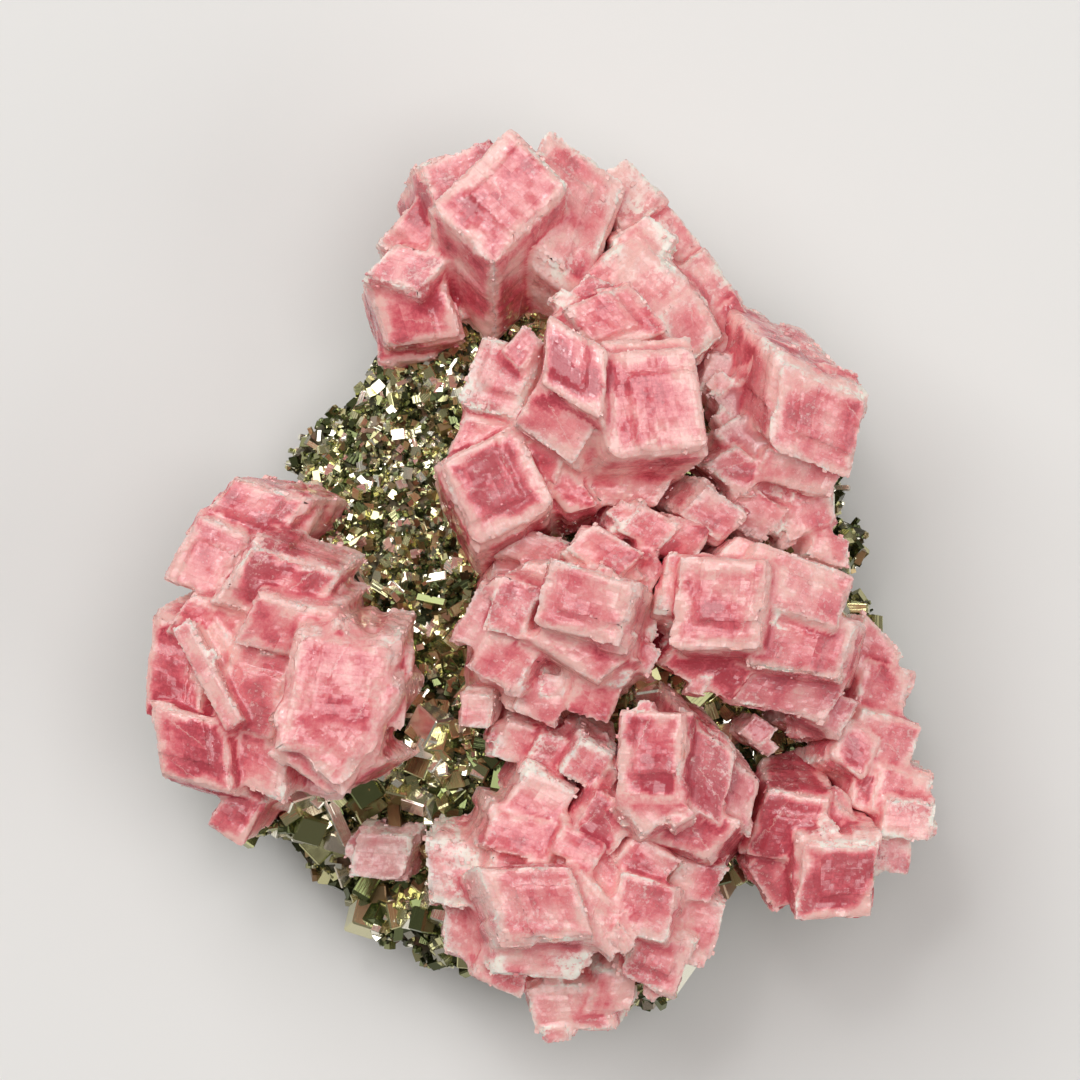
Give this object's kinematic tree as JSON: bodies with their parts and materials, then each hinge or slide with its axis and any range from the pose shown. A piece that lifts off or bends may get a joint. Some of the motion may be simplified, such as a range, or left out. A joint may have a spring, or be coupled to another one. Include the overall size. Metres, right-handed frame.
{
  "type": "mineral specimen",
  "caption": "Rhodochrosite specimen: clusters of pink rhombohedral crystals on a pyrite-coated rock, lying on its flat back.",
  "frame": {"origin": "middle of the bounding box, on the flat sawn back that it lies on", "axes": "+Z out of the crystal-covered front, +Y to the specimen's top as it is shown, +X to its right"},
  "size_m": [0.0872, 0.0994, 0.0447],
  "materials": {
    "pyrite_matrix": "glittering metallic grains",
    "left_rose": "translucent, glassy to frosted",
    "crown_crystals": "translucent, glassy to frosted",
    "ridge_crystals": "translucent, glassy to frosted",
    "twin_crystals": "translucent, glassy to frosted",
    "shoulder_crystals": "translucent, glassy to frosted",
    "heart_crystals": "translucent, glassy to frosted",
    "bulk_crystals": "translucent, glassy to frosted",
    "lower_crystals": "translucent, glassy to frosted",
    "foot_crystals": "translucent, glassy to frosted",
    "low_right_crystals": "translucent, glassy to frosted",
    "edge_column_crystals": "translucent, glassy to frosted",
    "pale_crystal": "translucent, glassy to frosted",
    "chip_crystal": "translucent, glassy to frosted",
    "lozenge_crystal": "translucent, glassy to frosted"
  },
  "bodies": {
    "root": {"pyrite_matrix": "pyrite_matrix", "left_rose": "left_rose", "crown_crystals": "crown_crystals", "ridge_crystals": "ridge_crystals", "twin_crystals": "twin_crystals", "shoulder_crystals": "shoulder_crystals", "heart_crystals": "heart_crystals", "bulk_crystals": "bulk_crystals", "lower_crystals": "lower_crystals", "foot_crystals": "foot_crystals", "low_right_crystals": "low_right_crystals", "edge_column_crystals": "edge_column_crystals", "pale_crystal": "pale_crystal", "chip_crystal": "chip_crystal", "lozenge_crystal": "lozenge_crystal"}
  },
  "joints": []
}
